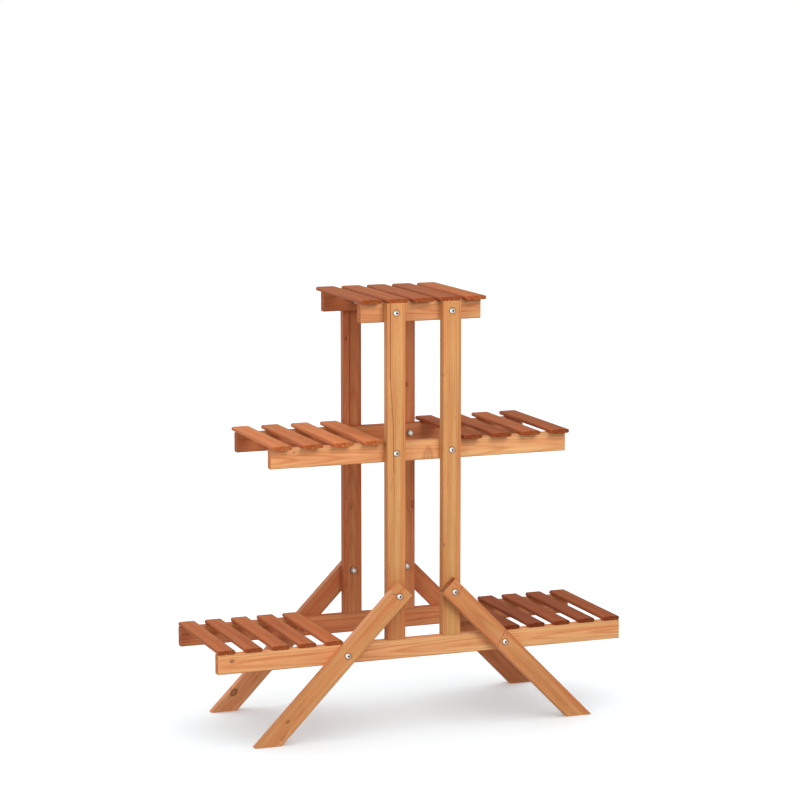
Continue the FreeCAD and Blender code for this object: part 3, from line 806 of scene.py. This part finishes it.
# Outline of the domed head from near its crown to its seat, in shares of its radius and its height
DOME = ((0.6, 0.22), (0.85, 0.5), (0.97, 0.75), (1.0, 0.9), (0.98, 1.0))

# Corners of the socket, and faces round the head and round one turn of the thread
KEY_SIDES, HEAD_SIDES, THREAD_SIDES = 6, 48, 24

# Flat land round the socket, and the chamfer at the free end
LAND, END_CHAMFER = 0.5 * MM, 0.4 * MM

# Thread in shares of its pitch: its depth, the corners of its ridge as depth below the crest and rise,
# how far the last turn ends from the free end, and how much of its length has no turns
THREAD_DEPTH = 0.6
RIDGE = ((0.7, -0.46), (0.0, -0.05), (0.0, 0.05), (0.7, 0.46))
LAST_TURN, NO_TURNS = 0.7, 1.5


def bolt_mesh(metal, length):
    """One bolt along y, its head from y = 0 and its free end towards the back."""
    shape = bmesh.new()
    shank, head, pitch = metal.shank / 2, metal.head / 2, metal.pitch
    core = shank - THREAD_DEPTH * pitch
    socket = metal.key / math.sqrt(3)
    flat = socket + LAND

    # Socket: a hexagon with as many points as the head, drawn up from its floor
    bmesh.ops.create_circle(
        shape, cap_ends=True, segments=KEY_SIDES, radius=socket,
        matrix=Matrix.Translation((0, metal.key_depth, 0)) @ Matrix.Rotation(math.pi / 2, 4, "X"))
    bmesh.ops.subdivide_edges(shape, edges=shape.edges, cuts=HEAD_SIDES // KEY_SIDES - 1)
    walls = bmesh.ops.extrude_edge_only(shape, edges=shape.edges)
    risen = [item for item in walls["geom"] if isinstance(item, bmesh.types.BMVert)]
    bmesh.ops.translate(shape, verts=risen, vec=(0, -metal.key_depth, 0))
    mouth = [item for item in walls["geom"] if isinstance(item, bmesh.types.BMEdge)
             and all(abs(vertex.co.y) < ON_PLACE for vertex in item.verts)]

    # Head, shank and the chamfered end, spun from half their outline
    dome = [(out * head, down * metal.head_height) for out, down in DOME]
    outline = [(flat, 0)] + dome + [
        (shank, metal.head_height), (shank, length - metal.threaded),
        (core, length - metal.threaded + 0.5 * pitch), (core, length - END_CHAMFER),
        (core - END_CHAMFER, length), (0, length)]
    points = [shape.verts.new((radius, depth, 0)) for radius, depth in outline]
    edges = [shape.edges.new(pair) for pair in zip(points, points[1:])]
    bmesh.ops.spin(
        shape, geom=points + edges, cent=(0, 0, 0), axis=(0, 1, 0), angle=2 * math.pi,
        steps=HEAD_SIDES, use_merge=True)
    bmesh.ops.remove_doubles(shape, verts=shape.verts, dist=SAME_POINT)
    rim = [edge for edge in shape.edges if edge.is_boundary
           and all(abs(vertex.co.xz.length - flat) < ON_PLACE for vertex in edge.verts)]
    bmesh.ops.bridge_loops(shape, edges=mouth + rim)

    # Thread: a ridge wound up the core by a spin that climbs
    turns = int((metal.threaded - NO_TURNS * pitch) / pitch)
    start = length - LAST_TURN * pitch - turns * pitch
    ridge = [shape.verts.new((shank - depth * pitch, start + rise * pitch, 0))
             for depth, rise in RIDGE]
    end = shape.faces.new(ridge)
    wound = bmesh.ops.spin(
        shape, geom=ridge + list(end.edges), cent=(0, 0, 0), axis=(0, 1, 0),
        dvec=(0, pitch / THREAD_SIDES, 0), angle=2 * math.pi * turns, steps=THREAD_SIDES * turns)
    last = [item for item in wound["geom_last"] if isinstance(item, bmesh.types.BMVert)]
    bmesh.ops.contextual_create(shape, geom=last)
    bmesh.ops.recalc_face_normals(shape, faces=shape.faces)
    for face in shape.faces:
        face.smooth = True
    mesh = bpy.data.meshes.new("bolt")
    shape.to_mesh(mesh)
    shape.free()
    return mesh


# ------------ operators

class PLANT_STAND_OT_rails(bpy.types.Operator):
    """Oil the six rails"""

    bl_idname = "plant_stand.rails"
    bl_label = "Rails"

    def execute(self, context):
        oil_boards(context.scene, "rail")
        return {"FINISHED"}


class PLANT_STAND_OT_posts(bpy.types.Operator):
    """Oil the four posts"""

    bl_idname = "plant_stand.posts"
    bl_label = "Posts"

    def execute(self, context):
        oil_boards(context.scene, "post")
        return {"FINISHED"}


class PLANT_STAND_OT_legs(bpy.types.Operator):
    """Oil the four slanting legs"""

    bl_idname = "plant_stand.legs"
    bl_label = "Legs"

    def execute(self, context):
        oil_boards(context.scene, "leg")
        return {"FINISHED"}


class PLANT_STAND_OT_slats(bpy.types.Operator):
    """Oil the slats of the shelves"""

    bl_idname = "plant_stand.slats"
    bl_label = "Slats"

    def execute(self, context):
        oil_boards(context.scene, "slat")
        return {"FINISHED"}


class PLANT_STAND_OT_dowels(bpy.types.Operator):
    """Finish the beech dowels between the posts and the bottom rails"""

    bl_idname = "plant_stand.dowels"
    bl_label = "Dowels"

    def execute(self, context):
        dress("post_dowels", beech_material())
        return {"FINISHED"}


class PLANT_STAND_OT_brads(bpy.types.Operator):
    """Finish the brads that hold the slats"""

    bl_idname = "plant_stand.brads"
    bl_label = "Brads"

    def execute(self, context):
        steel = wire_material(context.scene.plant_stand_metal.steel)
        for shelf in ("bottom", "middle", "top"):
            dress(f"{shelf}_slat_brads", steel)
        return {"FINISHED"}


class PLANT_STAND_OT_nuts(bpy.types.Operator):
    """Plate the nuts and washers"""

    bl_idname = "plant_stand.nuts"
    bl_label = "Nuts and washers"

    def execute(self, context):
        zinc = zinc_material("dull_zinc_plate", context.scene.plant_stand_metal.dull_zinc)
        dress("frame_washers", zinc)
        dress("frame_nuts", zinc)
        return {"FINISHED"}


class PLANT_STAND_OT_bolts(bpy.types.Operator):
    """Turn the bolts, with socket heads and threads, in place of the plain ones"""

    bl_idname = "plant_stand.bolts"
    bl_label = "Bolts"

    def execute(self, context):
        metal = context.scene.plant_stand_metal
        chance = random.Random("bolts")
        boxes = bolt_boxes()
        bolt = bolt_mesh(metal, max(high.y - low.y for low, high in boxes))
        shape = bmesh.new()
        for low, high in boxes:
            front = low.y < 0
            head = low.y if front else high.y
            place = Matrix.Translation(((low.x + high.x) / 2, head, (low.z + high.z) / 2))
            about = Matrix.Rotation(0 if front else math.pi, 4, "Z")
            turn = Matrix.Rotation(chance.uniform(0, math.pi / 3), 4, "Y")
            first = len(shape.verts)
            shape.from_mesh(bolt)
            shape.verts.ensure_lookup_table()
            bmesh.ops.transform(shape, matrix=place @ about @ turn, verts=shape.verts[first:])
        bpy.data.meshes.remove(bolt)
        zinc = zinc_material("bright_zinc_plate", metal.zinc)
        bolts = add_piece("threaded_bolts", shape, zinc)
        bolts.data.set_sharp_from_angle(angle=math.radians(35))
        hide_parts("frame_bolts")
        return {"FINISHED"}


def add_piece(name, shape, material):
    """Make a finished shape a piece that rides on the stand."""
    mesh = bpy.data.meshes.new(name)
    shape.to_mesh(mesh)
    shape.free()
    mesh.materials.append(material)
    piece = bpy.data.objects.new(name, mesh)
    bpy.context.scene.collection.objects.link(piece)
    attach(piece, "root")
    return piece


# Length of each softbox's sides and where it hangs, and the point that they light, in metres
SOFTBOXES = {
    "key": (1.3, (0.35, -1.95, 1.75)),
    "side": (0.9, (-1.9, -1.2, 1.3)),
    "back": (0.9, (-0.9, 2.3, 1.9)),
}
LIT_POINT = Vector((0, 0, 0.5))

# Half the side of the floor, in metres
FLOOR_REACH = 30


class PLANT_STAND_OT_stage(bpy.types.Operator):
    """Lay the floor, hang the lights and place the camera"""

    bl_idname = "plant_stand.stage"
    bl_label = "Stage"

    def execute(self, context):
        stage = context.scene.plant_stand_stage
        floor = add_floor(stage)
        add_room(context.scene, stage)
        stand = [item for item in context.scene.objects if item.type == "MESH" and item != floor]
        for name, (size, place) in SOFTBOXES.items():
            add_softbox(f"{name}_softbox", getattr(stage, f"{name}_power"), size, place, stand)
        add_floor_light("floor_light", stage.floor_strength, True, floor)
        add_floor_light("floor_fill", stage.floor_fill, False, floor)
        add_camera(context.scene, stage)
        context.scene.view_settings.view_transform = "Standard"
        return {"FINISHED"}


def add_floor(stage):
    """Floor that runs far past the view on every side."""
    shape = bmesh.new()
    bmesh.ops.create_grid(shape, x_segments=1, y_segments=1, size=FLOOR_REACH)
    mesh = bpy.data.meshes.new("floor")
    shape.to_mesh(mesh)
    shape.free()
    mesh.materials.append(paper_material(stage.floor))
    floor = bpy.data.objects.new("floor", mesh)
    bpy.context.scene.collection.objects.link(floor)
    floor.visible_diffuse = False
    return floor


def add_room(scene, stage):
    """White room that the camera sees brighter than it lights the stand."""
    world = bpy.data.worlds.new("white_room")
    world.use_nodes = True
    tree = world.node_tree
    tree.nodes.clear()
    path = add_node(tree, "LightPath")
    strength = add_node(
        tree, "MapRange",
        {"Value": path.outputs["Is Camera Ray"], "To Min": stage.room_strength, "To Max": 1.0})
    room = add_node(tree, "Background", {"Color": (1, 1, 1, 1), "Strength": strength})
    add_node(tree, "OutputWorld", {"Surface": room})
    scene.world = world


def add_lamp(data, place, aim, lit):
    """Hang a light that shines only on the objects given."""
    lamp = bpy.data.objects.new(data.name, data)
    lamp.location = place
    lamp.rotation_euler = (aim - lamp.location).to_track_quat("-Z", "Y").to_euler()
    bpy.context.scene.collection.objects.link(lamp)
    lamp.light_linking.receiver_collection = bpy.data.collections.new(f"lit_by_{data.name}")
    for item in lit:
        lamp.light_linking.receiver_collection.objects.link(item)


def add_softbox(name, power, size, place, lit):
    """Square soft light that spares the floor."""
    data = bpy.data.lights.new(name, "AREA")
    data.shape = "SQUARE"
    data.size = size
    data.energy = power
    add_lamp(data, place, LIT_POINT, lit)


def add_floor_light(name, strength, shadow, floor):
    """Very wide light from straight above that spares the stand."""
    data = bpy.data.lights.new(name, "SUN")
    data.energy = strength
    data.angle = math.radians(120)
    data.use_shadow = shadow
    # Aimed a hair off straight down, so that its turn is defined
    add_lamp(data, (0, 0, 3), Vector((0, 0.0001, 0)), [floor])


def add_camera(scene, stage):
    """Camera at the stage's angles and distance from its target."""
    camera_data = bpy.data.cameras.new("camera")
    camera_data.lens = stage.lens
    camera_data.sensor_width = 36
    camera_data.clip_end = 200
    camera = bpy.data.objects.new("camera", camera_data)
    back = Vector((
        -math.sin(stage.azimuth) * math.cos(stage.elevation),
        -math.cos(stage.azimuth) * math.cos(stage.elevation),
        math.sin(stage.elevation)))
    camera.location = Vector(stage.target) + back * stage.distance
    camera.rotation_euler = (math.pi / 2 - stage.elevation, 0, -stage.azimuth)
    scene.collection.objects.link(camera)
    scene.camera = camera


class PLANT_STAND_PT_panel(bpy.types.Panel):
    """Sizes, colours and operators of the plant stand"""

    bl_label = "Plant stand"
    bl_idname = "PLANT_STAND_PT_panel"
    bl_space_type = "VIEW_3D"
    bl_region_type = "UI"
    bl_category = "Plant stand"

    def draw(self, context):
        scene = context.scene
        for settings in (scene.plant_stand_wood, scene.plant_stand_metal, scene.plant_stand_stage):
            box = self.layout.box()
            for name in settings.__annotations__:
                box.prop(settings, name)
        for operator in OPERATORS:
            self.layout.operator(operator.bl_idname)


OPERATORS = (
    PLANT_STAND_OT_rails, PLANT_STAND_OT_posts, PLANT_STAND_OT_legs, PLANT_STAND_OT_slats,
    PLANT_STAND_OT_dowels, PLANT_STAND_OT_brads, PLANT_STAND_OT_nuts, PLANT_STAND_OT_bolts,
    PLANT_STAND_OT_stage)


def register():
    for item in GROUPS + OPERATORS + (PLANT_STAND_PT_panel,):
        bpy.utils.register_class(item)
    bpy.types.Scene.plant_stand_wood = PointerProperty(type=PlantStandWood)
    bpy.types.Scene.plant_stand_metal = PointerProperty(type=PlantStandMetal)
    bpy.types.Scene.plant_stand_stage = PointerProperty(type=PlantStandStage)


def unregister():
    del bpy.types.Scene.plant_stand_stage
    del bpy.types.Scene.plant_stand_metal
    del bpy.types.Scene.plant_stand_wood
    for item in reversed(GROUPS + OPERATORS + (PLANT_STAND_PT_panel,)):
        bpy.utils.unregister_class(item)


def main():
    register()
    bpy.ops.plant_stand.rails()
    bpy.ops.plant_stand.posts()
    bpy.ops.plant_stand.legs()
    bpy.ops.plant_stand.slats()
    bpy.ops.plant_stand.dowels()
    bpy.ops.plant_stand.brads()
    bpy.ops.plant_stand.nuts()
    bpy.ops.plant_stand.bolts()
    bpy.ops.plant_stand.stage()


if __name__ == "__main__":
    main()
